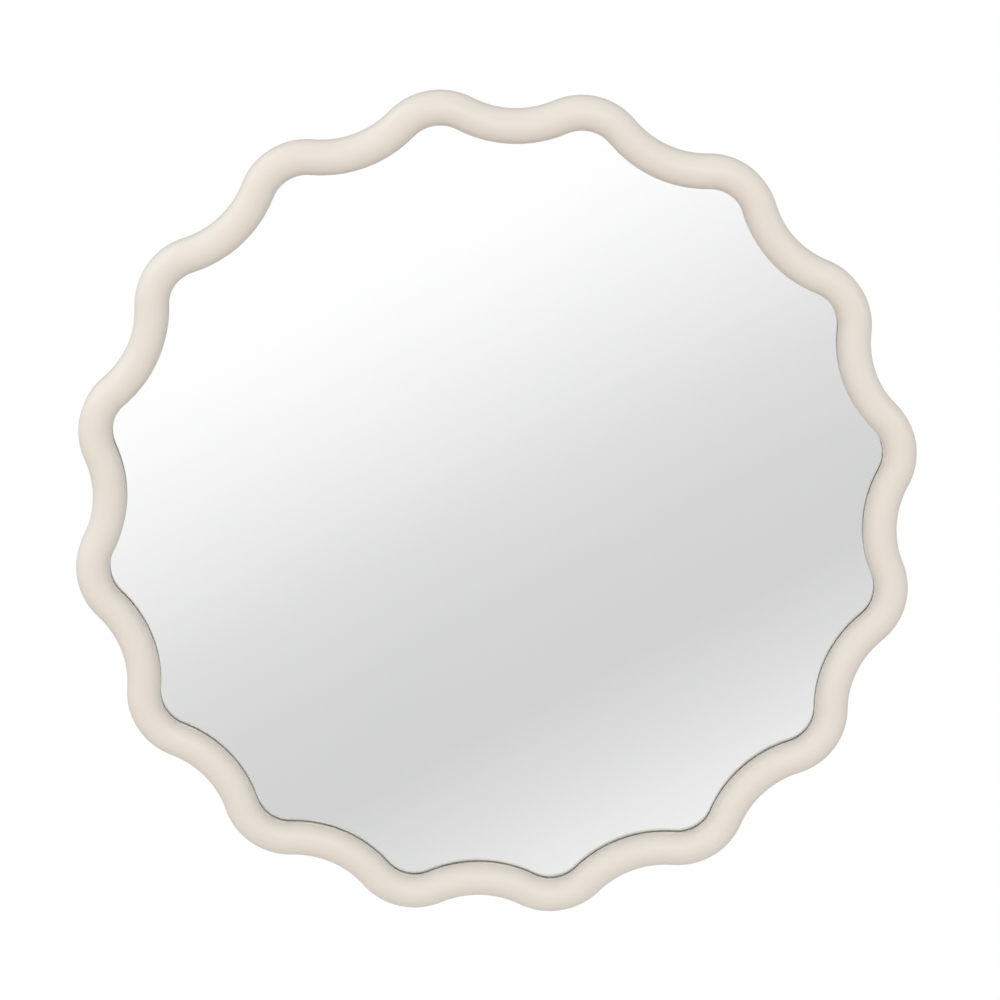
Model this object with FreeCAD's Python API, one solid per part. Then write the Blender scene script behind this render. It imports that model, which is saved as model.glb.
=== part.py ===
import FreeCAD, Part
import math
import os

# Round wall mirror in a wavy frame. Millimetres, the face looks to -Y, the wall lies at +Y and +Z is up.
# The origin is the middle of the whole object: the centre of the round, halfway from face to wall.

# Wave of the frame's centreline: crest arcs and trough arcs that meet in common tangents
lobe_count = 16
mean_radius = 355.0
wave_height = 20.0
crest_bend_radius = 47.0

# Frame section, from the inside of the wave outwards
glass_cover = 3.5
glass_edge_gap = 1.5
rebate_wall = 5.0
lip_wall = 3.0
lip_round = 0.5
back_round = 3.0

# Stack behind the lip, from the ledge to the frame's back
tape_thickness = 0.5
tape_width = 2.0
tape_edge_inset = 0.5
glass_thickness = 3.0
glass_arris = 0.5
film_thickness = 0.3
film_edge_inset = 1.0
foam_thickness = 3.2
foam_edge_inset = 1.0
board_thickness = 5.0
board_arris = 0.5
board_edge_gap = 0.6

# Rubber blocks round the glass
block_count = 8
block_length = 30.0
block_play = 0.1
block_end_play = 0.3

# Screws, all of one size
shank_radius = 1.75
screw_length = 12.0
screw_point_length = 3.0
head_radius = 3.6
head_rim_height = 0.9
head_height = 2.3
recess_length = 4.0
recess_width = 0.9
recess_depth = 1.2
recess_step_angle = 37.0
pilot_play = 0.05
screw_hole_play = 0.15

# Turn buttons, by the number of the crest that each stands on, counted from +X towards +Z
button_crest_numbers = (0, 3, 4, 7, 9, 11, 12, 14)
button_reach = 20.0
button_eye_margin = 2.4
button_tip_radius = 4.5
button_thickness = 1.2
button_play = 0.1

# Ring hangers, the left one at the right one's mirrored place
hanger_sides = ("right", "left")
hanger_crest_number = 1
hanger_inset = 1.5
strap_width = 12.0
strap_sheet = 1.0
strap_length = 22.0
strap_screw_distance = 13.0
ring_wire_radius = 1.4
ring_bar_play = 0.15
ring_bar_offset = 2.0
ring_side_play = 1.0
ring_leg = 5.0
ring_corner_radius = 3.0
ring_rest_gap = 0.3

# Wall bumpers
bumper_crest_numbers = (2, 5, 10, 13)
bumper_floor = 2.0
bumper_head_depth = 2.2
bumper_well_play = 0.4
bumper_wall = 2.5
bumper_taper = 0.5

# Cuts run past the material by this much
overrun = 1.0

# Worked out from the sizes above
frame_width = wave_height + rebate_wall + glass_edge_gap + glass_cover
half_width = frame_width / 2
crest_radius = mean_radius + wave_height / 2
trough_radius = mean_radius - wave_height / 2
glass_radius = crest_radius - half_width + glass_cover
rebate_radius = glass_radius + glass_edge_gap
bumper_height = bumper_floor + head_height + bumper_head_depth
stack_depth = tape_thickness + glass_thickness + film_thickness + foam_thickness + board_thickness
total_depth = half_width + lip_wall + stack_depth + bumper_height
front_y = -total_depth / 2
widest_y = front_y + half_width
ledge_y = widest_y + lip_wall
glass_y = ledge_y + tape_thickness
film_y = glass_y + glass_thickness
foam_y = film_y + film_thickness
board_y = foam_y + foam_thickness
back_y = board_y + board_thickness
crest_pitch = 360.0 / lobe_count
flat_middle_radius = (rebate_radius + crest_radius + half_width - back_round) / 2
hanger_radius = flat_middle_radius - hanger_inset
barrel_radius = ring_wire_radius + ring_bar_play + strap_sheet
ring_span = strap_width + 2 * (ring_side_play + ring_corner_radius)
ring_height = ring_leg + ring_span / 2
ring_lean = math.degrees(math.asin((barrel_radius - ring_wire_radius - ring_rest_gap) / ring_height))

rearward = FreeCAD.Vector(0, 1, 0)
origin = FreeCAD.Vector(0, 0, 0)


def at(x, y, z=0.0):
    return FreeCAD.Vector(x, y, z)


def outline(*edges):
    return Part.Face(Part.Wire([edge.toShape() for edge in edges]))


def line(start, end):
    return Part.LineSegment(start, end)


def arc_about(centre, radius, start_angle, end_angle):
    """Arc in the X-Y plane through its middle, angles in degrees."""
    points = []
    for angle in (start_angle, (start_angle + end_angle) / 2, end_angle):
        turn = math.radians(angle)
        points.append(centre + at(radius * math.cos(turn), radius * math.sin(turn)))
    return Part.Arc(*points)


def turned(shape, angle, centre=origin, axis=rearward):
    copy = shape.copy()
    copy.rotate(centre, axis, angle)
    return copy


def moved(shape, x=0.0, y=0.0, z=0.0):
    copy = shape.copy()
    copy.translate(at(x, y, z))
    return copy


def crest_angle(crest):
    return crest_pitch / 2 + crest * crest_pitch


def on_crest(shape, crest, radius, y):
    """Takes a shape whose +X points out of the wave to a crest, at a radius and a depth."""
    return turned(moved(shape, radius, y), -crest_angle(crest))


def disc(radius, start_y, thickness, arris=0.0):
    """Round sheet about the Y axis, with an arris ground off both edges."""
    end_y = start_y + thickness
    rim = [at(radius, start_y), at(radius, end_y)]
    if arris:
        rim = [at(radius, start_y + arris), at(radius, end_y - arris)]
        rim = [at(radius - arris, start_y), *rim, at(radius - arris, end_y)]
    corners = [at(0, start_y), *rim, at(0, end_y), at(0, start_y)]
    return Part.Face(Part.makePolygon(corners)).revolve(origin, rearward, 360)


def band(inner_radius, outer_radius, start_y, thickness, sweep=360.0):
    """Ring, or a stretch of one centred on +X, about the Y axis."""
    section = Part.makePlane(outer_radius - inner_radius, thickness, at(inner_radius, start_y))
    return turned(section.revolve(origin, rearward, sweep), -sweep / 2)


def hole(radius, start_y, end_y):
    return Part.makeCylinder(radius, end_y - start_y, at(0, start_y), rearward)


# Frame


def frame_section():
    """Section of the frame in the X-Y plane, X across it and outwards from the centreline."""
    inner_x = -half_width
    behind_x = inner_x + lip_round
    outer_x = half_width
    return outline(
        line(at(behind_x, back_y), at(behind_x, ledge_y)),
        arc_about(at(behind_x, ledge_y - lip_round), lip_round, 90, 180),
        line(at(inner_x, ledge_y - lip_round), at(inner_x, widest_y)),
        arc_about(at(0, widest_y), half_width, 180, 360),
        line(at(outer_x, widest_y), at(outer_x, back_y - back_round)),
        arc_about(at(outer_x - back_round, back_y - back_round), back_round, 0, 90),
        line(at(outer_x - back_round, back_y), at(behind_x, back_y)),
    )


def one_wave():
    """The frame from the middle of one trough to the next, with its crest on +X."""
    half_pitch = math.radians(crest_pitch / 2)
    crest_centre = crest_radius - crest_bend_radius
    above = crest_bend_radius**2 - crest_centre**2 - trough_radius**2
    above += 2 * crest_centre * trough_radius * math.cos(half_pitch)
    below = 2 * (trough_radius - crest_centre * math.cos(half_pitch) - crest_bend_radius)
    trough_bend_radius = above / below
    trough_centre = trough_radius + trough_bend_radius
    across = trough_centre * math.sin(half_pitch)
    along = trough_centre * math.cos(half_pitch) - crest_centre
    crest_sweep = math.degrees(math.atan2(across, along))
    trough_sweep = crest_sweep - crest_pitch / 2

    crest_axis = at(crest_centre, 0)
    crest = moved(frame_section(), crest_radius).revolve(crest_axis, rearward, 2 * crest_sweep)
    crest = turned(crest, -crest_sweep, crest_axis)

    trough_axis = at(trough_centre, 0)
    half_trough = moved(frame_section(), trough_radius).revolve(trough_axis, rearward, trough_sweep)
    last_trough = turned(half_trough, crest_pitch / 2)
    next_trough = turned(turned(half_trough, -trough_sweep, trough_axis), -crest_pitch / 2)
    return crest.multiFuse([last_trough, next_trough])


def frame_ring():
    wave = one_wave()
    waves = [turned(wave, -crest_angle(number)) for number in range(lobe_count)]
    ring = waves[0].multiFuse(waves[1:]).removeSplitter()
    ring = ring.cut(disc(rebate_radius, ledge_y, back_y - ledge_y + overrun))
    pilot = hole(shank_radius + pilot_play, back_y - screw_length, back_y + overrun)
    pilots = []
    for crest in button_crest_numbers + bumper_crest_numbers:
        pilots.append(on_crest(pilot, crest, flat_middle_radius, 0))
    for side in hanger_sides:
        pilots.append(on_hanger(moved(pilot, z=-strap_screw_distance), side))
    return ring.cut(pilots)


# Glass, liner and board


def glazing_tape():
    outer_radius = glass_radius - tape_edge_inset
    return band(outer_radius - tape_width, outer_radius, ledge_y, tape_thickness)


def mirror_glass():
    return disc(glass_radius, glass_y, glass_thickness, glass_arris)


def silvered_film():
    return disc(glass_radius - film_edge_inset, film_y, film_thickness)


def foam_liner():
    return disc(glass_radius - foam_edge_inset, foam_y, foam_thickness)


def backing_board():
    return disc(rebate_radius - board_edge_gap, board_y, board_thickness, board_arris)


def glass_edge_blocks():
    sweep = math.degrees(block_length / glass_radius)
    start_y = glass_y + block_end_play
    height = glass_thickness - 2 * block_end_play
    block = band(glass_radius + block_play, rebate_radius - block_play, start_y, height, sweep)
    pitch = 360.0 / block_count
    return Part.makeCompound([turned(block, pitch / 2 + number * pitch) for number in range(block_count)])


# Fasteners


def pan_head_screw(seat_height):
    """Screw along Y whose head sits at a height over the frame's back, with a cross recess."""
    seat = back_y + seat_height
    rim = seat + head_rim_height
    crown = seat + head_height
    tip = back_y - screw_length
    dome_height = crown - rim
    dome_radius = (head_radius**2 + dome_height**2) / (2 * dome_height)
    half_sweep = math.asin(head_radius / dome_radius) / 2
    dome_middle = at(dome_radius * math.sin(half_sweep), crown - dome_radius * (1 - math.cos(half_sweep)))
    profile = outline(
        line(at(0, tip), at(shank_radius, tip + screw_point_length)),
        line(at(shank_radius, tip + screw_point_length), at(shank_radius, seat)),
        line(at(shank_radius, seat), at(head_radius, seat)),
        line(at(head_radius, seat), at(head_radius, rim)),
        Part.Arc(at(head_radius, rim), dome_middle, at(0, crown)),
        line(at(0, crown), at(0, tip)),
    )
    screw = profile.revolve(origin, rearward, 360)
    corner = at(-recess_length / 2, crown - recess_depth, -recess_width / 2)
    slot = Part.makeBox(recess_length, recess_depth + overrun, recess_width, corner)
    return screw.cut([slot, turned(slot, 90)])


def screws_on_crests(crests, seat_height):
    screw = pan_head_screw(seat_height)
    placed = []
    for crest in crests:
        placed.append(on_crest(turned(screw, crest * recess_step_angle), crest, flat_middle_radius, 0))
    return Part.makeCompound(placed)


# Turn buttons


def turn_button(crest):
    """Flat teardrop that turns on its eye and reaches over the board."""
    eye_radius = head_radius + button_eye_margin
    tangent = math.degrees(math.acos((eye_radius - button_tip_radius) / button_reach))
    eye = origin
    tip = at(-button_reach, 0)
    tip_arc = arc_about(tip, button_tip_radius, 180 - tangent, 180 + tangent)
    eye_arc = arc_about(eye, eye_radius, 180 + tangent, 540 - tangent)
    plan = outline(
        tip_arc,
        line(tip_arc.EndPoint, eye_arc.StartPoint),
        eye_arc,
        line(eye_arc.EndPoint, tip_arc.StartPoint),
    )
    button = plan.extrude(at(0, 0, button_thickness))
    button = button.cut(Part.makeCylinder(shank_radius + screw_hole_play, button_thickness, eye))
    upright = turned(button, -90, origin, at(1, 0))
    return on_crest(upright, crest, flat_middle_radius, back_y + button_play)


# Ring hangers


def on_hanger(shape, side):
    """Takes a shape to a hanger: its origin to the middle of the ring's bar, its +Z along the strap."""
    right_angle = crest_angle(hanger_crest_number)
    if side == "right":
        return turned(moved(shape, hanger_radius, 0, -ring_bar_offset), -right_angle)
    return turned(moved(turned(shape, 180), hanger_radius, 0, ring_bar_offset), right_angle - 180)


def hanger_strap(side):
    straight = strap_length - strap_width / 2
    sheet = Part.makeBox(strap_width, 2 * strap_sheet, straight, at(-strap_width / 2, back_y, -straight))
    end = Part.makeCylinder(strap_width / 2, 2 * strap_sheet, at(0, back_y, -straight), rearward)
    bar_y = back_y + barrel_radius
    along = at(1, 0)
    start = at(-strap_width / 2, bar_y)
    barrel = Part.makeCylinder(barrel_radius, strap_width, start, along)
    bore = Part.makeCylinder(barrel_radius - strap_sheet, strap_width, start, along)
    screw_hole = hole(shank_radius + screw_hole_play, back_y, back_y + 2 * strap_sheet)
    strap = barrel.multiFuse([sheet, end]).cut([bore, moved(screw_hole, z=-strap_screw_distance)])
    return on_hanger(strap, side)


def ring_run(start, end):
    return Part.makeCylinder(ring_wire_radius, (end - start).Length, start, end - start)


def ring_bend(centre, radius, start_angle, sweep):
    """Bent stretch of the ring's wire, from an angle in degrees about a centre in the X-Y plane."""
    turn = math.radians(start_angle)
    out = at(math.cos(turn), math.sin(turn))
    wire_end = Part.makeCircle(ring_wire_radius, centre + out * radius, at(-out.y, out.x))
    return Part.Face(Part.Wire(wire_end)).revolve(centre, at(0, 0, 1), sweep)


def hanger_ring(side):
    """D of round wire: bar, corners, legs and bow, leaning on the frame's back."""
    half_span = ring_span / 2
    inset = half_span - ring_corner_radius
    stretches = [ring_run(at(-inset, 0), at(inset, 0)), ring_bend(at(0, ring_leg), half_span, 0, 180)]
    for side_x, start_angle in ((1, 270), (-1, 180)):
        leg_x = side_x * half_span
        corner = at(side_x * inset, ring_corner_radius)
        stretches.append(ring_bend(corner, ring_corner_radius, start_angle, 90))
        stretches.append(ring_run(at(leg_x, ring_corner_radius), at(leg_x, ring_leg)))
    ring = stretches[0].multiFuse(stretches[1:])
    ring = turned(ring, 90 + ring_lean, origin, at(1, 0))
    return on_hanger(moved(ring, y=back_y + barrel_radius), side)


def hanger_screws():
    screw = moved(pan_head_screw(2 * strap_sheet), z=-strap_screw_distance)
    return Part.makeCompound([on_hanger(screw, side) for side in hanger_sides])


# Wall bumpers


def wall_bumpers():
    top_y = back_y + bumper_height
    floor_y = back_y + bumper_floor
    bore_radius = shank_radius + screw_hole_play
    well_radius = head_radius + bumper_well_play
    tip_radius = well_radius + bumper_wall
    corners = [
        at(bore_radius, back_y),
        at(tip_radius + bumper_taper, back_y),
        at(tip_radius, top_y),
        at(well_radius, top_y),
        at(well_radius, floor_y),
        at(bore_radius, floor_y),
        at(bore_radius, back_y),
    ]
    bumper = Part.Face(Part.makePolygon(corners)).revolve(origin, rearward, 360)
    placed = [on_crest(bumper, crest, flat_middle_radius, 0) for crest in bumper_crest_numbers]
    return Part.makeCompound(placed)


def write(node, shape):
    solids = shape.Solids
    single = solids[0] if len(solids) == 1 else Part.makeCompound(solids)
    single.exportStep(os.path.join("parts", node + ".step"))


def main():
    os.makedirs("parts", exist_ok=True)
    write("frame_ring", frame_ring())
    write("glazing_tape", glazing_tape())
    write("mirror_glass", mirror_glass())
    write("silvered_film", silvered_film())
    write("glass_edge_blocks", glass_edge_blocks())
    write("foam_liner", foam_liner())
    write("backing_board", backing_board())
    for number, crest in enumerate(button_crest_numbers, start=1):
        write(f"turn_button_{number}", turn_button(crest))
    button_seat = button_thickness + 2 * button_play
    write("turn_button_screws", screws_on_crests(button_crest_numbers, button_seat))
    for side in hanger_sides:
        write(f"hanger_strap_{side}", hanger_strap(side))
        write(f"hanger_ring_{side}", hanger_ring(side))
    write("hanger_screws", hanger_screws())
    write("wall_bumpers", wall_bumpers())
    write("bumper_screws", screws_on_crests(bumper_crest_numbers, bumper_floor))


main()
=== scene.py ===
import math

import bmesh
import bpy
from mathutils import Matrix, Vector


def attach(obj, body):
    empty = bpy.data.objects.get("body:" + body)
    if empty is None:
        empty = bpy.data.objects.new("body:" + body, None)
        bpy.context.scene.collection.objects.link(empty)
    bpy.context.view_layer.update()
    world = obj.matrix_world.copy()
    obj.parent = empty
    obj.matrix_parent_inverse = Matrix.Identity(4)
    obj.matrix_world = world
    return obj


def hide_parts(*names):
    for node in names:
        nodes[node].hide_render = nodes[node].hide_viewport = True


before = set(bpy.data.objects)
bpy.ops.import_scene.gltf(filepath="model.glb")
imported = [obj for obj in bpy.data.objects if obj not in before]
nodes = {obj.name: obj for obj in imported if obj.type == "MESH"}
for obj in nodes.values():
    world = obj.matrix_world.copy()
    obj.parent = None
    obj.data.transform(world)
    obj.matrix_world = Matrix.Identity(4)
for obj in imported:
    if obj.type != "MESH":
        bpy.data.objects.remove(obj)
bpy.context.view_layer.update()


# The wavy frame is one ring of cast resin, round in front and flat behind, with sixteen even waves.
# It is sanded and sprayed with satin cream lacquer, and the round rebate behind, which takes the
# glass, stays the resin's own white.
wave_count = 16
trough_middle_radius = 0.345
crest_bend_radius = 0.047
crest_bend_centre = 0.318
half_tube = 0.015
widest_y = -0.00325
inner_wall = 0.003
rebate_depth = 0.012
rebate_radius = 0.355
lip_round = 0.0005
back_edge_round = 0.003
crest_steps = 24
trough_steps = 16
section_steps = 64
lip_steps = 4
back_edge_steps = 6
hair = 0.00001
merge_distance = 0.000001
bridge_step = 0.02
smooth_degrees = 40
lip_back_y = widest_y + inner_wall
frame_back_y = lip_back_y + rebate_depth
half_wave = math.pi / wave_count
# The troughs are bent so that their arcs run into the crests' arcs without a corner
crest_centre_along = crest_bend_centre * math.cos(half_wave)
trough_bend_radius = (
    (crest_bend_radius ** 2 - trough_middle_radius ** 2 - crest_bend_centre ** 2
     + 2 * trough_middle_radius * crest_centre_along)
    / (2 * (trough_middle_radius - crest_centre_along - crest_bend_radius)))
trough_bend_centre = trough_middle_radius + trough_bend_radius


def select_none():
    bpy.ops.object.select_all(action="DESELECT")


def apply_place():
    """Moves the object's place, turn and scale into its mesh."""
    bpy.ops.object.transform_apply(location=True, rotation=True, scale=True)


def pick(test):
    """Selects in edit mode the points that pass the test, and nothing else."""
    bpy.ops.mesh.select_mode(type="VERT")
    bpy.ops.mesh.select_all(action="DESELECT")
    mesh = bmesh.from_edit_mesh(bpy.context.object.data)
    for point in mesh.verts:
        if test(point.co):
            point.select = True
    mesh.select_flush_mode()
    bmesh.update_edit_mesh(bpy.context.object.data)


def pick_open_edges(test):
    """Selects in edit mode the open edges whose ends both pass the test, and nothing else."""
    bpy.ops.mesh.select_mode(type="EDGE")
    bpy.ops.mesh.select_all(action="DESELECT")
    mesh = bmesh.from_edit_mesh(bpy.context.object.data)
    for edge in mesh.edges:
        if len(edge.link_faces) < 2 and all(test(point.co) for point in edge.verts):
            edge.select = True
    bmesh.update_edit_mesh(bpy.context.object.data)


def add_ring(vertices, radius, x, y, z):
    """Adds a circle that lies square to the Y axis."""
    bpy.ops.mesh.primitive_circle_add(vertices=vertices, radius=radius, location=(x, y, z),
                                      rotation=(math.pi / 2, 0, 0))


def extrude_by(x=0.0, y=0.0, z=0.0):
    bpy.ops.mesh.extrude_region_move(TRANSFORM_OT_translate={"value": (x, y, z)})


def move_by(x=0.0, y=0.0, z=0.0):
    bpy.ops.transform.translate(value=(x, y, z))


def spin_about(x, y, z, axis, degrees, steps):
    """Spins the selection about an axis through a point, right-handed about the axis."""
    bpy.ops.mesh.spin(steps=steps, angle=-math.radians(degrees), center=(x, y, z), axis=axis)


def close_shell():
    """Merges doubled points and turns every face outwards."""
    bpy.ops.mesh.select_all(action="SELECT")
    bpy.ops.mesh.remove_doubles(threshold=merge_distance)
    bpy.ops.mesh.normals_make_consistent(inside=False)


def on_rebate_wall(point):
    return abs(math.hypot(point.x, point.z) - rebate_radius) < hair


def spin_trough(turn, sweep, steps):
    """Carries the section on along a trough's arc, whose middle lies at a turn about the mirror."""
    spin_about(trough_bend_centre * math.cos(turn), 0, trough_bend_centre * math.sin(turn), (0, 1, 0),
               sweep, steps)


select_none()
bpy.ops.mesh.primitive_circle_add(vertices=section_steps, radius=half_tube,
                                  location=(trough_middle_radius, widest_y, 0))
wavy_frame = bpy.context.object
wavy_frame.name = "wavy_frame"
apply_place()
inner_x = trough_middle_radius - half_tube
outer_x = trough_middle_radius + half_tube
bpy.ops.object.mode_set(mode="EDIT")
pick(lambda p: p.y > widest_y + hair)
bpy.ops.mesh.delete(type="VERT")
pick(lambda p: p.x < inner_x + hair)
extrude_by(y=inner_wall - lip_round)
spin_about(inner_x + lip_round, lip_back_y - lip_round, 0, (0, 0, 1), -90, lip_steps)
pick(lambda p: p.x > outer_x - hair)
extrude_by(y=frame_back_y - back_edge_round - widest_y)
spin_about(outer_x - back_edge_round, frame_back_y - back_edge_round, 0, (0, 0, 1), 90, back_edge_steps)
bpy.ops.mesh.select_all(action="SELECT")
crest_sweep = math.degrees(math.atan2(
    trough_bend_centre * math.sin(half_wave), trough_bend_centre * math.cos(half_wave) - crest_bend_centre))
trough_sweep = crest_sweep - math.degrees(half_wave)
spin_trough(0, trough_sweep, trough_steps // 2)
for wave in range(wave_count):
    crest_turn = (2 * wave + 1) * half_wave
    spin_about(crest_bend_centre * math.cos(crest_turn), 0, crest_bend_centre * math.sin(crest_turn),
               (0, 1, 0), -2 * crest_sweep, crest_steps)
    if wave < wave_count - 1:
        spin_trough(crest_turn + half_wave, 2 * trough_sweep, trough_steps)
spin_trough(0, trough_sweep, trough_steps // 2)
bpy.ops.mesh.select_all(action="SELECT")
bpy.ops.mesh.remove_doubles(threshold=hair / 2)
bpy.ops.mesh.select_all(action="DESELECT")
# Rings in one plane can pair up wrongly, so they are bridged a step apart and then moved together
add_ring(wave_count * (crest_steps + trough_steps), rebate_radius, 0, lip_back_y + bridge_step, 0)
pick_open_edges(lambda p: on_rebate_wall(p) or abs(p.y - lip_back_y) < hair)
bpy.ops.mesh.bridge_edge_loops()
pick_open_edges(on_rebate_wall)
move_by(y=-bridge_step)
extrude_by(y=rebate_depth + bridge_step)
pick_open_edges(lambda p: on_rebate_wall(p) or abs(p.y - frame_back_y) < hair)
bpy.ops.mesh.bridge_edge_loops()
pick(lambda p: p.y > frame_back_y + hair)
move_by(y=-bridge_step)
close_shell()
bpy.ops.object.mode_set(mode="OBJECT")
bpy.ops.object.shade_smooth_by_angle(angle=math.radians(smooth_degrees))


def new_group(name, inputs, outputs):
    """Starts a shader node group. Returns it with its input and output nodes."""
    group = bpy.data.node_groups.new(name, "ShaderNodeTree")
    for label, kind, value in inputs:
        group.interface.new_socket(label, in_out="INPUT", socket_type=kind).default_value = value
    for label, kind in outputs:
        group.interface.new_socket(label, in_out="OUTPUT", socket_type=kind)
    return group, group.nodes.new("NodeGroupInput"), group.nodes.new("NodeGroupOutput")


def math_node(tree, operation, first, second, clamp=False):
    """Adds a math node whose two inputs are sockets or numbers. Returns its output."""
    node = tree.nodes.new("ShaderNodeMath")
    node.operation = operation
    node.use_clamp = clamp
    for socket, given in zip(node.inputs, (first, second)):
        if isinstance(given, float):
            socket.default_value = given
        else:
            tree.links.new(given, socket)
    return node.outputs["Value"]


def noise_node(tree, vector, scale, detail):
    """Adds a noise texture over a vector. Returns its output."""
    node = tree.nodes.new("ShaderNodeTexNoise")
    node.inputs["Detail"].default_value = detail
    tree.links.new(vector, node.inputs["Vector"])
    if isinstance(scale, float):
        node.inputs["Scale"].default_value = scale
    else:
        tree.links.new(scale, node.inputs["Scale"])
    return node.outputs["Fac"]


def range_node(tree, value, from_span=(0.0, 1.0), to_span=(0.0, 1.0)):
    """Adds a node that carries one span of values to another. Returns its output."""
    node = tree.nodes.new("ShaderNodeMapRange")
    tree.links.new(value, node.inputs["Value"])
    for label, given in zip(("From Min", "From Max", "To Min", "To Max"), (*from_span, *to_span)):
        if isinstance(given, float):
            node.inputs[label].default_value = given
        else:
            tree.links.new(given, node.inputs[label])
    return node.outputs["Result"]


def blend_node(tree, share, first, second):
    """Adds a node that blends two colours, each a socket or a value. Returns its output."""
    node = tree.nodes.new("ShaderNodeMix")
    node.data_type = "RGBA"
    for label, given in (("Factor", share), ("A", first), ("B", second)):
        if isinstance(given, float):
            node.inputs[label].default_value = given
        elif isinstance(given, tuple):
            node.inputs[label].default_value = (*given, 1)
        else:
            tree.links.new(given, node.inputs[label])
    return node.outputs["Result"]


def surface_group():
    """Shader group for slow colour drift, fine grain and uneven gloss over a surface."""
    drift_span = (0.32, 0.68)
    group, given, out = new_group("surface_drift_and_grain", (
        ("Main colour", "NodeSocketColor", (0.8, 0.8, 0.8, 1)),
        ("Drift colour", "NodeSocketColor", (0.7, 0.7, 0.7, 1)),
        ("Drift scale", "NodeSocketFloat", 10.0),
        ("Grain scale", "NodeSocketFloat", 500.0),
        ("Least roughness", "NodeSocketFloat", 0.3),
        ("Most roughness", "NodeSocketFloat", 0.4),
    ), (("Colour", "NodeSocketColor"), ("Roughness", "NodeSocketFloat"), ("Grain", "NodeSocketFloat")))
    place = group.nodes.new("ShaderNodeTexCoord").outputs["Object"]
    drift = noise_node(group, place, given.outputs["Drift scale"], detail=3)
    grain = noise_node(group, place, given.outputs["Grain scale"], detail=4)
    drift_share = range_node(group, drift, drift_span)
    colour = blend_node(group, drift_share, given.outputs["Main colour"], given.outputs["Drift colour"])
    gloss_span = (given.outputs["Least roughness"], given.outputs["Most roughness"])
    group.links.new(colour, out.inputs["Colour"])
    group.links.new(range_node(group, grain, to_span=gloss_span), out.inputs["Roughness"])
    group.links.new(grain, out.inputs["Grain"])
    return group


drift_and_grain = surface_group()


def fleck_group():
    """Shader group that scatters small flecks of another colour over a surface."""
    edge_sharpness = 14.0
    group, given, out = new_group("scattered_flecks", (
        ("Colour", "NodeSocketColor", (0.8, 0.8, 0.8, 1)),
        ("Fleck colour", "NodeSocketColor", (0.3, 0.3, 0.3, 1)),
        ("Fleck scale", "NodeSocketFloat", 800.0),
        ("Stretch", "NodeSocketVector", (1, 1, 1)),
        ("Amount", "NodeSocketFloat", 0.5),
        ("Threshold", "NodeSocketFloat", 0.6),
    ), (("Colour", "NodeSocketColor"), ("Flecks", "NodeSocketFloat")))
    place = group.nodes.new("ShaderNodeTexCoord").outputs["Object"]
    stretched = group.nodes.new("ShaderNodeVectorMath")
    stretched.operation = "MULTIPLY"
    group.links.new(place, stretched.inputs[0])
    group.links.new(given.outputs["Stretch"], stretched.inputs[1])
    speckle = noise_node(group, stretched.outputs["Vector"], given.outputs["Fleck scale"], detail=2)
    over = math_node(group, "SUBTRACT", speckle, given.outputs["Threshold"])
    sharp = math_node(group, "MULTIPLY", over, edge_sharpness, clamp=True)
    share = math_node(group, "MULTIPLY", sharp, given.outputs["Amount"])
    colour = blend_node(group, share, given.outputs["Colour"], given.outputs["Fleck colour"])
    group.links.new(colour, out.inputs["Colour"])
    group.links.new(share, out.inputs["Flecks"])
    return group


flecks = fleck_group()


def finish(name, main_colour, drift_colour, patches_per_metre, grains_per_metre, grain_depth, roughness):
    """Makes a material whose colour, roughness and bump come from the shared group."""
    made = bpy.data.materials.new(name)
    made.use_nodes = True
    tree = made.node_tree
    shader = tree.nodes["Principled BSDF"]
    surface = tree.nodes.new("ShaderNodeGroup")
    surface.name = "surface"
    surface.node_tree = drift_and_grain
    for label, value in (
            ("Main colour", (*main_colour, 1)),
            ("Drift colour", (*drift_colour, 1)),
            ("Drift scale", patches_per_metre),
            ("Grain scale", grains_per_metre),
            ("Least roughness", roughness[0]),
            ("Most roughness", roughness[1])):
        surface.inputs[label].default_value = value
    bump = tree.nodes.new("ShaderNodeBump")
    bump.inputs["Distance"].default_value = grain_depth
    tree.links.new(surface.outputs["Colour"], shader.inputs["Base Color"])
    tree.links.new(surface.outputs["Roughness"], shader.inputs["Roughness"])
    tree.links.new(surface.outputs["Grain"], bump.inputs["Height"])
    tree.links.new(bump.outputs["Normal"], shader.inputs["Normal"])
    return made


def shader_of(material):
    return material.node_tree.nodes["Principled BSDF"]


def scatter(tree, colour, fleck_colour, flecks_per_metre, stretch, fleck_share, threshold):
    """Adds flecks over a colour. Returns the colour with its flecks."""
    node = tree.nodes.new("ShaderNodeGroup")
    node.node_tree = flecks
    tree.links.new(colour, node.inputs["Colour"])
    for label, value in (
            ("Fleck colour", (*fleck_colour, 1)),
            ("Fleck scale", flecks_per_metre),
            ("Stretch", stretch),
            ("Amount", fleck_share),
            ("Threshold", threshold)):
        node.inputs[label].default_value = value
    return node.outputs["Colour"]


def dress(piece, material):
    piece.data.materials.clear()
    piece.data.materials.append(material)


def hand_over(piece, node, body):
    """Hides a CAD node and puts the piece that stands for it on one body."""
    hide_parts(node)
    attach(piece, body)


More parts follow.
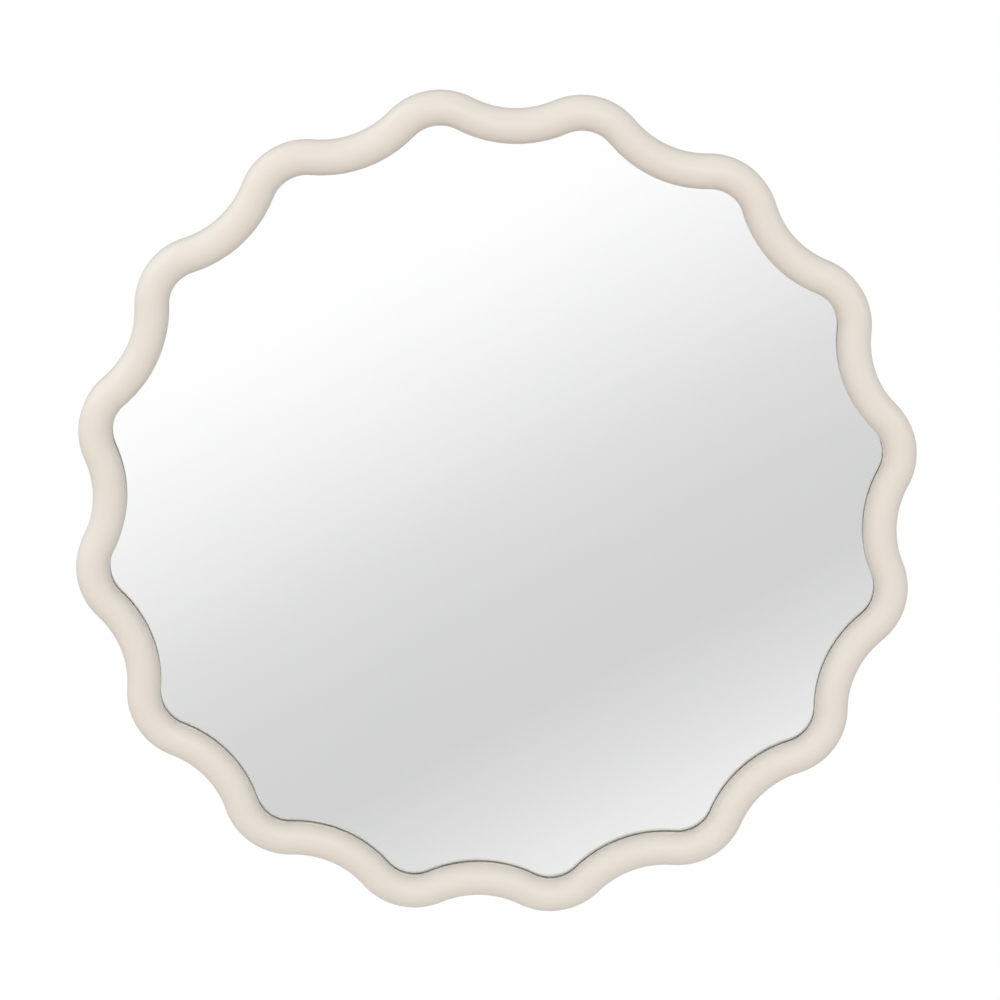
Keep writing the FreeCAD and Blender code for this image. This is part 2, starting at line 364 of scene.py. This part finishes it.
lacquer_grain_depth = 0.000012
coat_share = 0.2
coat_roughness = 0.2
paint_fade = 0.0009
paint_overlap = 0.001
rebate_fade = 0.0003
bare_white = (0.93, 0.92, 0.9)
bare_white_share = 0.85
bare_roughness = (0.55, 0.8)
bare_patches_per_metre = 120.0
speck_colour = (0.62, 0.58, 0.52)
lacquer = finish(
    "cream_lacquer", main_colour=(0.78, 0.724, 0.656), drift_colour=(0.77, 0.704, 0.634),
    patches_per_metre=9, grains_per_metre=180, grain_depth=lacquer_grain_depth, roughness=(0.40, 0.46))
tree = lacquer.node_tree
shader = shader_of(lacquer)
surface = tree.nodes["surface"]
shader.inputs["Coat Roughness"].default_value = coat_roughness
place = tree.nodes.new("ShaderNodeTexCoord").outputs["Object"]
depth = tree.nodes.new("ShaderNodeSeparateXYZ")
tree.links.new(place, depth.inputs["Vector"])
flattened = tree.nodes.new("ShaderNodeVectorMath")
flattened.operation = "MULTIPLY"
flattened.inputs[1].default_value = (1, 0, 1)
tree.links.new(place, flattened.inputs[0])
radius = tree.nodes.new("ShaderNodeVectorMath")
radius.operation = "LENGTH"
tree.links.new(flattened.outputs["Vector"], radius.inputs[0])
paint_end_y = frame_back_y - paint_overlap
behind = range_node(tree, depth.outputs["Y"], (paint_end_y, paint_end_y + paint_fade))
past_ledge = range_node(tree, depth.outputs["Y"], (lip_back_y - rebate_fade, lip_back_y))
within = math_node(tree, "LESS_THAN", radius.outputs["Value"], rebate_radius + rebate_fade)
in_rebate = math_node(tree, "MULTIPLY", past_ledge, within)
bare = math_node(tree, "MAXIMUM", behind, in_rebate)
specked = scatter(tree, surface.outputs["Colour"], speck_colour, flecks_per_metre=900, stretch=(1, 1, 1),
                  fleck_share=0.5, threshold=0.62)
bare_resin = blend_node(tree, bare_white_share, specked, bare_white)
skin = blend_node(tree, bare, surface.outputs["Colour"], bare_resin)
tree.links.new(skin, shader.inputs["Base Color"])
bare_patches = noise_node(tree, place, bare_patches_per_metre, detail=2)
chalky = range_node(tree, bare_patches, to_span=bare_roughness)
skin_gloss = range_node(tree, bare, to_span=(surface.outputs["Roughness"], chalky))
tree.links.new(skin_gloss, shader.inputs["Roughness"])
coat = range_node(tree, bare, to_span=(coat_share, 0.0))
tree.links.new(coat, shader.inputs["Coat Weight"])
dress(wavy_frame, lacquer)
hand_over(wavy_frame, "frame_ring", "mirror")


# Thin white foam tape lies on the ledge of the rebate. The glass is pressed onto it, so that glass
# and frame don't rattle, and it shows only as a pale line at the frame's inner edge.
tape_cell_depth = 0.0001
foam_tape = finish(
    "white_foam_tape", main_colour=(0.85, 0.85, 0.83), drift_colour=(0.8, 0.8, 0.78),
    patches_per_metre=60, grains_per_metre=2200, grain_depth=tape_cell_depth, roughness=(0.75, 0.95))
dress(nodes["glazing_tape"], foam_tape)


# The mirror is a round of 3 mm float glass with ground edges. Its back is silvered, so the reflection
# lies one thickness of glass behind the face, and the frame's edge shows twice.
tape_thickness = 0.0005
glass_thickness = 0.003
glass_edge_gap = 0.0015
glass_edge_steps = 256
ground_width = 0.0005
ground_degrees = 20
polish_depth = 0.0000001
glass_radius = rebate_radius - glass_edge_gap
glass_front_y = lip_back_y + tape_thickness
silver_y = glass_front_y + glass_thickness - hair
select_none()
bpy.ops.mesh.primitive_circle_add(vertices=glass_edge_steps, radius=glass_radius,
                                  location=(0, glass_front_y, 0), rotation=(math.pi / 2, 0, 0),
                                  fill_type="NGON")
silvered_glass = bpy.context.object
silvered_glass.name = "silvered_glass"
apply_place()
bpy.ops.object.mode_set(mode="EDIT")
bpy.ops.mesh.select_all(action="SELECT")
extrude_by(y=silver_y - glass_front_y)
close_shell()
bpy.ops.object.mode_set(mode="OBJECT")
ground = silvered_glass.modifiers.new("ground_edges", "BEVEL")
ground.width = ground_width
ground.segments = 1
ground.limit_method = "ANGLE"
bpy.ops.object.modifier_apply(modifier=ground.name)
bpy.ops.object.shade_smooth_by_angle(angle=math.radians(ground_degrees))
float_glass = finish(
    "float_glass", main_colour=(0.995, 1.0, 0.997), drift_colour=(0.99, 0.998, 0.994),
    patches_per_metre=5, grains_per_metre=30, grain_depth=polish_depth, roughness=(0.0, 0.001))
glass_shader = shader_of(float_glass)
glass_shader.inputs["IOR"].default_value = 1.52
glass_shader.inputs["Transmission Weight"].default_value = 1.0
silver = finish(
    "silver_coat", main_colour=(0.97, 0.972, 0.97), drift_colour=(0.965, 0.967, 0.965),
    patches_per_metre=8, grains_per_metre=60, grain_depth=polish_depth, roughness=(0.0, 0.001))
shader_of(silver).inputs["Metallic"].default_value = 1.0
dress(silvered_glass, float_glass)
silvered_glass.data.materials.append(silver)
for face in silvered_glass.data.polygons:
    if face.center.y > silver_y - hair:
        face.material_index = 1
hand_over(silvered_glass, "mirror_glass", "mirror")


# A grey plastic safety film is stuck on the silvering and its paint.
# It holds the pieces if the glass breaks.
film_grain_depth = 0.00002
safety_film = finish(
    "grey_safety_film", main_colour=(0.16, 0.165, 0.17), drift_colour=(0.13, 0.135, 0.14),
    patches_per_metre=20, grains_per_metre=900, grain_depth=film_grain_depth, roughness=(0.35, 0.5))
dress(nodes["silvered_film"], safety_film)


# Eight small blocks of black rubber are pushed in between the glass and the wall of the rebate.
# They keep the round glass in its middle.
block_grain_depth = 0.00005
block_rubber = finish(
    "black_block_rubber", main_colour=(0.03, 0.03, 0.03), drift_colour=(0.05, 0.05, 0.05),
    patches_per_metre=80, grains_per_metre=1500, grain_depth=block_grain_depth, roughness=(0.6, 0.8))
dress(nodes["glass_edge_blocks"], block_rubber)


# A round of soft white foam is laid on the film, and the board presses it together.
# It pushes the glass forward onto its tape.
foam_cell_depth = 0.0002
foam = finish(
    "white_foam", main_colour=(0.82, 0.82, 0.8), drift_colour=(0.76, 0.76, 0.74),
    patches_per_metre=50, grains_per_metre=1200, grain_depth=foam_cell_depth, roughness=(0.85, 0.95))
dress(nodes["foam_liner"], foam)


# The backing board is a round of 5 mm hardboard, pressed smooth from brown wood fibre, and its edge
# is broken. It lies loose in the rebate until the turn buttons hold it.
board_grain_depth = 0.00006
light_fibre_colour = (0.43, 0.29, 0.17)
dark_fibre_colour = (0.2, 0.115, 0.06)
hardboard = finish(
    "brown_hardboard", main_colour=(0.335, 0.205, 0.11), drift_colour=(0.295, 0.178, 0.094),
    patches_per_metre=14, grains_per_metre=1400, grain_depth=board_grain_depth, roughness=(0.42, 0.62))
tree = hardboard.node_tree
surface = tree.nodes["surface"]
light_fibres = scatter(tree, surface.outputs["Colour"], light_fibre_colour, flecks_per_metre=700,
                       stretch=(1, 1, 0.4), fleck_share=0.4, threshold=0.6)
dark_fibres = scatter(tree, light_fibres, dark_fibre_colour, flecks_per_metre=850,
                      stretch=(0.4, 1, 1), fleck_share=0.4, threshold=0.62)
tree.links.new(dark_fibres, shader_of(hardboard).inputs["Base Color"])
dress(nodes["backing_board"], hardboard)


# Each turn button is a teardrop pressed from zinc-plated sheet, with its edges rolled over by the press.
# It turns on one screw in the frame's back, and its tip holds the board.
button_eye_radius = 0.006
button_tip_radius = 0.0045
button_reach = 0.02
button_thickness = 0.0012
button_clearance = 0.0001
button_edge_round = 0.0003
screw_hole_radius = 0.0019
small_ring_steps = 48
fitting_smooth_degrees = 30
plate_grain_depth = 0.00001
button_waves = (0, 3, 4, 7, 9, 11, 12, 14)
button_front_y = frame_back_y + button_clearance
outer_flat_radius = crest_bend_centre + crest_bend_radius + half_tube - back_edge_round
fixing_radius = (rebate_radius + outer_flat_radius) / 2


def resize_about(factor, x, y, z):
    """Scales the selection across the Y axis about a point."""
    bpy.ops.transform.resize(value=(factor, 1, factor), center_override=(x, y, z))


def take(piece):
    """Makes a piece the only one selected."""
    select_none()
    bpy.context.view_layer.objects.active = piece
    piece.select_set(True)


def round_edges(piece, width, segments, degrees):
    """Rounds the piece's edges that are sharper than an angle and smooths the rest."""
    take(piece)
    rounding = piece.modifiers.new("rounded_edges", "BEVEL")
    rounding.width = width
    rounding.segments = segments
    rounding.limit_method = "ANGLE"
    rounding.angle_limit = math.radians(degrees)
    bpy.ops.object.modifier_apply(modifier=rounding.name)
    bpy.ops.object.shade_smooth_by_angle(angle=math.radians(fitting_smooth_degrees))


def copy_of(piece, name):
    """Copies a piece with a mesh of its own and leaves the copy selected."""
    take(piece)
    bpy.ops.object.duplicate()
    made = bpy.context.object
    made.name = name
    return made


def turn_to_wave(piece, wave):
    """Turns a piece that stands on +X about the middle of the mirror to a wave's crest."""
    piece.rotation_euler = (0, -(2 * wave + 1) * half_wave, 0)
    apply_place()


def remove_piece(piece):
    bpy.data.objects.remove(piece, do_unlink=True)


select_none()
add_ring(small_ring_steps, button_eye_radius, fixing_radius, button_front_y, 0)
button = bpy.context.object
apply_place()
bpy.ops.object.mode_set(mode="EDIT")
pick(lambda p: p.x < fixing_radius - hair)
resize_about(button_tip_radius / button_eye_radius, fixing_radius, button_front_y, 0)
move_by(x=-button_reach)
bpy.ops.mesh.select_all(action="DESELECT")
add_ring(small_ring_steps, screw_hole_radius, fixing_radius, button_front_y + bridge_step, 0)
bpy.ops.mesh.select_all(action="SELECT")
bpy.ops.mesh.bridge_edge_loops()
pick(lambda p: p.y > button_front_y + hair)
move_by(y=-bridge_step)
bpy.ops.mesh.select_all(action="SELECT")
extrude_by(y=button_thickness)
close_shell()
bpy.ops.object.mode_set(mode="OBJECT")
round_edges(button, button_edge_round, segments=3, degrees=40)
plated = finish(
    "zinc_plate", main_colour=(0.78, 0.785, 0.80), drift_colour=(0.66, 0.675, 0.70),
    patches_per_metre=320, grains_per_metre=1800, grain_depth=plate_grain_depth, roughness=(0.22, 0.36))
shader_of(plated).inputs["Metallic"].default_value = 1.0
dress(button, plated)
for number, wave in enumerate(button_waves, start=1):
    placed = copy_of(button, f"pressed_button_{number}")
    turn_to_wave(placed, wave)
    hand_over(placed, f"turn_button_{number}", f"turn_button_{number}_body")
remove_piece(button)


# Pan-head wood screws of one size hold the buttons. They are zinc-plated steel, cold headed, so that
# the rim of the head is round and the cross recess has drawn-in edges.
shank_radius = 0.00175
shank_depth = 0.012
point_length = 0.003
point_share = 0.05
head_radius = 0.0036
head_rim = 0.0009
head_height = 0.0023
head_edge_round = 0.0001
dome_rings = 7
recess_length = 0.004
recess_width = 0.0009
recess_depth = 0.0012
recess_floor_share = 0.72
recess_step_degrees = 37
button_screw_seat = 0.0014
shank_end_y = frame_back_y - shank_depth


def cut_with(piece, cutter):
    """Cuts the piece with the cutter, which is then removed."""
    take(piece)
    cut = piece.modifiers.new("cut", "BOOLEAN")
    cut.operation = "DIFFERENCE"
    cut.solver = "EXACT"
    cut.object = cutter
    bpy.ops.object.modifier_apply(modifier=cut.name)
    remove_piece(cutter)


def join_as(name, pieces):
    """Joins pieces into one with a name."""
    take(pieces[0])
    for piece in pieces:
        piece.select_set(True)
    bpy.ops.object.join()
    pieces[0].name = name
    return pieces[0]


def pan_head_screw(seat_height):
    """Makes one screw on the Y axis, its head on a seat over the frame's back."""
    seat_y = frame_back_y + seat_height
    select_none()
    add_ring(small_ring_steps, shank_radius, 0, seat_y, 0)
    screw = bpy.context.object
    apply_place()
    bpy.ops.object.mode_set(mode="EDIT")
    bpy.ops.mesh.select_all(action="SELECT")
    extrude_by(y=shank_end_y + point_length - seat_y)
    extrude_by(y=-point_length)
    resize_about(point_share, 0, shank_end_y, 0)
    bpy.ops.mesh.edge_face_add()
    pick(lambda p: p.y > seat_y - hair)
    extrude_by()
    resize_about(head_radius / shank_radius, 0, seat_y, 0)
    extrude_by(y=head_rim)
    dome_height = head_height - head_rim
    dome_radius = (head_radius ** 2 + dome_height ** 2) / (2 * dome_height)
    dome_sweep = math.asin(head_radius / dome_radius)
    ring_radius = head_radius
    ring_rise = 0.0
    for ring in range(1, dome_rings):
        angle = dome_sweep * (1 - ring / dome_rings)
        next_radius = dome_radius * math.sin(angle)
        next_rise = dome_height - dome_radius * (1 - math.cos(angle))
        extrude_by(y=next_rise - ring_rise)
        resize_about(next_radius / ring_radius, 0, seat_y, 0)
        ring_radius = next_radius
        ring_rise = next_rise
    bpy.ops.mesh.edge_face_add()
    bpy.ops.mesh.poke()
    close_shell()
    bpy.ops.object.mode_set(mode="OBJECT")
    crown_y = seat_y + head_height
    cutters = []
    for turn in (0, math.pi / 2):
        select_none()
        bpy.ops.mesh.primitive_cube_add(size=1, location=(0, crown_y, 0))
        cutter = bpy.context.object
        cutter.scale = (recess_length, 2 * recess_depth, recess_width)
        cutter.rotation_euler = (0, turn, 0)
        apply_place()
        bpy.ops.object.mode_set(mode="EDIT")
        pick(lambda p: p.y < crown_y)
        resize_about(recess_floor_share, 0, crown_y, 0)
        bpy.ops.object.mode_set(mode="OBJECT")
        cutters.append(cutter)
    for cutter in cutters:
        cut_with(screw, cutter)
    round_edges(screw, head_edge_round, segments=2, degrees=35)
    dress(screw, plated)
    return screw


def screws_on_waves(name, waves, seat_height):
    """Sets one screw on each of the waves' crests, every one stopped at a turn of its own."""
    screw = pan_head_screw(seat_height)
    placed = []
    for wave in waves:
        one = copy_of(screw, name)
        one.rotation_euler = (0, math.radians(recess_step_degrees * wave), 0)
        apply_place()
        one.location = (fixing_radius, 0, 0)
        apply_place()
        turn_to_wave(one, wave)
        placed.append(one)
    remove_piece(screw)
    return join_as(name, placed)


button_screws = screws_on_waves("pan_head_button_screws", button_waves, button_screw_seat)
hand_over(button_screws, "turn_button_screws", "mirror")


# A strap folded from plated sheet holds each hanger ring. The sheet wraps round the ring's bar,
# comes back on itself, and one screw goes through both layers near the round end.
strap_width = 0.012
strap_sheet = 0.001
strap_length = 0.022
strap_screw_distance = 0.013
strap_edge_round = 0.00015
barrel_radius = 0.00255
return_bend_radius = 0.001
strap_wrap_steps = 27
strap_return_steps = 8
strap_end_steps = 12
hanger_wave = 1
hanger_inset = 0.0015
bar_offset = 0.002
hole_cutter_depth = 0.01
hanger_radius = fixing_radius - hanger_inset
bar_y = frame_back_y + barrel_radius
wrap_radius = barrel_radius - strap_sheet / 2
lower_y = frame_back_y + strap_sheet / 2
upper_y = lower_y + strap_sheet


def to_hanger(piece, side):
    """Takes a piece from the mirror's middle to a hanger, its +Z along the strap."""
    right_turn = (2 * hanger_wave + 1) * half_wave
    if side == "right":
        piece.location = (hanger_radius, 0, -bar_offset)
        apply_place()
        piece.rotation_euler = (0, -right_turn, 0)
    else:
        piece.rotation_euler = (0, math.pi, 0)
        apply_place()
        piece.location = (hanger_radius, 0, bar_offset)
        apply_place()
        piece.rotation_euler = (0, right_turn - math.pi, 0)
    apply_place()


select_none()
bpy.ops.mesh.primitive_plane_add(size=1, location=(0, lower_y, -strap_length / 2),
                                 rotation=(math.pi / 2, 0, 0))
strap = bpy.context.object
strap.scale = (strap_width, strap_length, 1)
apply_place()
bpy.ops.object.mode_set(mode="EDIT")
pick(lambda p: p.z > -hair)
return_y = upper_y + return_bend_radius
return_z = -math.sqrt((wrap_radius + return_bend_radius) ** 2 - (return_y - bar_y) ** 2)
tip_angle = math.degrees(math.atan2(bar_y - return_y, -return_z))
spin_about(0, bar_y, 0, (1, 0, 0), -(270 + tip_angle), strap_wrap_steps)
spin_about(0, return_y, return_z, (1, 0, 0), 90 + tip_angle, strap_return_steps)
extrude_by(z=-strap_length - return_z)
pick(lambda p: p.z < -strap_length + hair)
bpy.ops.mesh.bevel(offset=strap_width / 2 - hair, segments=strap_end_steps, affect="VERTICES")
bpy.ops.object.mode_set(mode="OBJECT")
sheet_metal = strap.modifiers.new("sheet", "SOLIDIFY")
sheet_metal.thickness = strap_sheet - 2 * hair
sheet_metal.offset = 0
bpy.ops.object.modifier_apply(modifier=sheet_metal.name)
bpy.ops.object.mode_set(mode="EDIT")
close_shell()
bpy.ops.object.mode_set(mode="OBJECT")
select_none()
bpy.ops.mesh.primitive_cylinder_add(vertices=small_ring_steps, radius=screw_hole_radius,
                                    depth=hole_cutter_depth,
                                    location=(0, frame_back_y, -strap_screw_distance),
                                    rotation=(math.pi / 2, 0, 0))
cut_with(strap, bpy.context.object)
round_edges(strap, strap_edge_round, segments=2, degrees=45)
dress(strap, plated)
for side in ("right", "left"):
    placed = copy_of(strap, f"folded_strap_{side}")
    to_hanger(placed, side)
    hand_over(placed, f"hanger_strap_{side}", "mirror")
remove_piece(strap)


# Each hanger ring is a D bent from round plated wire. Its bar turns in the strap's barrel,
# and its bow goes over a hook in the wall.
wire_radius = 0.0014
ring_corner_radius = 0.003
ring_half_span = 0.01
ring_leg = 0.005
ring_lean_degrees = 3.2543
wire_steps = 24
ring_corner_steps = 10
ring_bow_steps = 48
bar_half = ring_half_span - ring_corner_radius
select_none()
bpy.ops.mesh.primitive_circle_add(vertices=wire_steps, radius=wire_radius, location=(0, 0, 0),
                                  rotation=(0, math.pi / 2, 0))
ring = bpy.context.object
apply_place()
bpy.ops.object.mode_set(mode="EDIT")
bpy.ops.mesh.select_all(action="SELECT")
extrude_by(x=bar_half)
spin_about(bar_half, ring_corner_radius, 0, (0, 0, 1), 90, ring_corner_steps)
extrude_by(y=ring_leg - ring_corner_radius)
spin_about(0, ring_leg, 0, (0, 0, 1), 180, ring_bow_steps)
extrude_by(y=ring_corner_radius - ring_leg)
spin_about(-bar_half, ring_corner_radius, 0, (0, 0, 1), 90, ring_corner_steps)
extrude_by(x=bar_half)
close_shell()
bpy.ops.object.mode_set(mode="OBJECT")
bpy.ops.object.shade_smooth_by_angle(angle=math.radians(smooth_degrees))
ring.rotation_euler = (math.radians(90 + ring_lean_degrees), 0, 0)
ring.location = (0, bar_y, 0)
apply_place()
dress(ring, plated)
for side in ("right", "left"):
    placed = copy_of(ring, f"wire_ring_{side}")
    to_hanger(placed, side)
    hand_over(placed, f"hanger_ring_{side}", f"hanger_ring_{side}_body")
remove_piece(ring)


# The straps' screws are the same pan-head screws as the buttons'. One goes through each strap,
# and its head sits on both layers of the sheet.
strap_screw_seat = 2 * strap_sheet
screw = pan_head_screw(strap_screw_seat)
placed = []
for side in ("right", "left"):
    one = copy_of(screw, "pan_head_strap_screws")
    one.location = (0, 0, -strap_screw_distance)
    apply_place()
    to_hanger(one, side)
    placed.append(one)
remove_piece(screw)
strap_screws = join_as("pan_head_strap_screws", placed)
hand_over(strap_screws, "hanger_screws", "mirror")


# Four moulded rubber bumpers keep the mirror off the wall. Each has a well for its screw's head,
# a slight taper to leave the mould, and rounded rims.
bumper_base_radius = 0.007
bumper_tip_radius = 0.0065
bumper_well_radius = 0.004
bumper_height = 0.0065
bumper_floor = 0.002
bumper_edge_round = 0.0006
bumper_steps = 64
bumper_grain_depth = 0.00005
bumper_waves = (2, 5, 10, 13)
select_none()
add_ring(bumper_steps, bumper_base_radius, 0, frame_back_y, 0)
bumper = bpy.context.object
apply_place()
bpy.ops.object.mode_set(mode="EDIT")
bpy.ops.mesh.select_all(action="SELECT")
extrude_by(y=bumper_height)
resize_about(bumper_tip_radius / bumper_base_radius, 0, frame_back_y, 0)
extrude_by()
resize_about(bumper_well_radius / bumper_tip_radius, 0, frame_back_y, 0)
extrude_by(y=bumper_floor - bumper_height)
extrude_by()
resize_about(screw_hole_radius / bumper_well_radius, 0, frame_back_y, 0)
extrude_by(y=-bumper_floor - bridge_step)
pick_open_edges(lambda p: p.y < frame_back_y + hair)
bpy.ops.mesh.bridge_edge_loops()
pick(lambda p: p.y < frame_back_y - hair)
move_by(y=bridge_step)
close_shell()
bpy.ops.object.mode_set(mode="OBJECT")
round_edges(bumper, bumper_edge_round, segments=4, degrees=40)
placed = []
for wave in bumper_waves:
    one = copy_of(bumper, "moulded_bumpers")
    one.location = (fixing_radius, 0, 0)
    apply_place()
    turn_to_wave(one, wave)
    placed.append(one)
remove_piece(bumper)
bumpers = join_as("moulded_bumpers", placed)
bumper_rubber = finish(
    "pale_bumper_rubber", main_colour=(0.62, 0.62, 0.6), drift_colour=(0.56, 0.56, 0.53),
    patches_per_metre=120, grains_per_metre=1500, grain_depth=bumper_grain_depth, roughness=(0.5, 0.65))
dress(bumpers, bumper_rubber)
hand_over(bumpers, "wall_bumpers", "mirror")


# The bumpers' screws are the same pan-head screws again. Their heads sit deep in the wells,
# so that no metal touches the wall.
bumper_screws = screws_on_waves("pan_head_bumper_screws", bumper_waves, bumper_floor)
hand_over(bumper_screws, "bumper_screws", "mirror")


# The camera looks at the mirror from a little above and nearly square, and stands slightly turned
# about its own axis, as in the photo.
camera_azimuth = math.radians(-2.53)
camera_elevation = math.radians(12.71)
camera_roll = math.radians(2.37)
camera_distance = 3.318
focal_share = 3.709
film_width = 36
aim = Vector((0.00272, -0.00114, 0.00986))
towards_camera = Vector((
    math.sin(camera_azimuth) * math.cos(camera_elevation),
    -math.cos(camera_azimuth) * math.cos(camera_elevation),
    math.sin(camera_elevation)))
level_right = Vector((math.cos(camera_azimuth), math.sin(camera_azimuth), 0))
level_up = towards_camera.cross(level_right)
camera_right = level_right * math.cos(camera_roll) + level_up * math.sin(camera_roll)
camera_up = level_up * math.cos(camera_roll) - level_right * math.sin(camera_roll)
eye = aim + towards_camera * camera_distance
camera_data = bpy.data.cameras.new("camera")
camera_data.sensor_width = film_width
camera_data.lens = film_width * focal_share
camera = bpy.data.objects.new("camera", camera_data)
turned = Matrix((camera_right, camera_up, towards_camera)).transposed().to_4x4()
camera.matrix_world = Matrix.Translation(eye) @ turned
bpy.context.scene.collection.objects.link(camera)
bpy.context.scene.camera = camera
bpy.context.scene.view_settings.view_transform = "Standard"


# The studio is a pale round of floor under the mirror and a white room that is darker behind the
# camera, which is what the mirror shows. Four soft lamps stand to the left, the right and in front.
floor_z = -0.725
floor_radius = 0.66
floor_steps = 96
floor_grain_depth = 0.0001
select_none()
bpy.ops.mesh.primitive_circle_add(vertices=floor_steps, radius=floor_radius, location=(0, 0, floor_z),
                                  fill_type="NGON")
floor = bpy.context.object
floor.name = "floor"
floor_paint = finish(
    "pale_floor", main_colour=(0.82, 0.79, 0.75), drift_colour=(0.81, 0.78, 0.74),
    patches_per_metre=3, grains_per_metre=300, grain_depth=floor_grain_depth, roughness=(0.75, 0.85))
dress(floor, floor_paint)

# The room's brightness by its place in the mirror, up and to the left, in multiples of tone_radius
room_tones = (
    (-1.3, 0.84), (-0.93, 0.88), (-0.82, 0.83), (-0.67, 0.745), (-0.475, 0.665), (-0.246, 0.69),
    (0.0, 0.755), (0.246, 0.87), (0.475, 0.97), (0.62, 1.02), (0.9, 1.05))
tone_direction = Vector((-0.5, 0, 0.866))
tone_radius = 0.363
tone_span = 2.0
low_room_colour = (0.85, 0.64, 0.57)
low_room_span = (-0.4, -0.9)
front_to_back = (-0.85, 0.3)
front_and_back_strength = (1.0, 0.6)
reach = (eye - Vector((0, silver_y, 0))).length / tone_radius
tone_slope = tone_direction * reach
tone_slope.y = -eye.dot(tone_direction) * reach / (silver_y - eye.y)
world = bpy.data.worlds.new("studio")
bpy.context.scene.world = world
world.use_nodes = True
tree = world.node_tree
view_direction = tree.nodes.new("ShaderNodeTexCoord").outputs["Generated"]
across_mirror = tree.nodes.new("ShaderNodeVectorMath")
across_mirror.operation = "DOT_PRODUCT"
across_mirror.inputs[1].default_value = tone_slope
tree.links.new(view_direction, across_mirror.inputs[0])
ramp = tree.nodes.new("ShaderNodeValToRGB")
ramp_place = range_node(tree, across_mirror.outputs["Value"], (-tone_span, tone_span))
tree.links.new(ramp_place, ramp.inputs["Fac"])
points = ramp.color_ramp.elements
while len(points) < len(room_tones):
    points.new(0)
for point, (share, tone) in zip(points, room_tones):
    point.position = (share + tone_span) / (2 * tone_span)
    point.color = (tone, tone, tone, 1)
sides = tree.nodes.new("ShaderNodeSeparateXYZ")
tree.links.new(view_direction, sides.inputs["Vector"])
low_share = range_node(tree, sides.outputs["Z"], low_room_span)
room_colour = blend_node(tree, low_share, ramp.outputs["Color"], low_room_colour)
room = tree.nodes["Background"]
tree.links.new(room_colour, room.inputs["Color"])
strength = range_node(tree, sides.outputs["Y"], front_to_back, front_and_back_strength)
tree.links.new(strength, room.inputs["Strength"])
white = tree.nodes.new("ShaderNodeBackground")
white.inputs["Color"].default_value = (1, 1, 1, 1)
seen = tree.nodes.new("ShaderNodeMixShader")
tree.links.new(tree.nodes.new("ShaderNodeLightPath").outputs["Is Camera Ray"], seen.inputs["Fac"])
tree.links.new(room.outputs["Background"], seen.inputs[1])
tree.links.new(white.outputs["Background"], seen.inputs[2])
tree.links.new(seen.outputs["Shader"], tree.nodes["World Output"].inputs["Surface"])

# Each lamp's place, the side of its square, its watts and its tint
soft_lamps = {
    "left_lamp": ((-2.6, 0.2, 1.9), 2.6, 21.5, (0.78, 0.92, 1.0)),
    "left_front_lamp": ((-2.6, -1.5, 1.2), 1.6, 6.6, (1.0, 1.0, 0.95)),
    "front_lamp": ((0.6, -3.4, 1.6), 1.2, 10.0, (1.0, 1.0, 0.88)),
    "right_front_lamp": ((2.6, -1.6, 0.8), 1.2, 6.8, (0.75, 0.93, 1.0)),
}
for name, (place, size, watts, tint) in soft_lamps.items():
    data = bpy.data.lights.new(name, "AREA")
    data.size = size
    data.energy = watts
    data.color = tint
    lamp = bpy.data.objects.new(name, data)
    bpy.context.scene.collection.objects.link(lamp)
    lamp.location = place
    lamp.rotation_euler = Vector(place).to_track_quat("Z", "Y").to_euler()
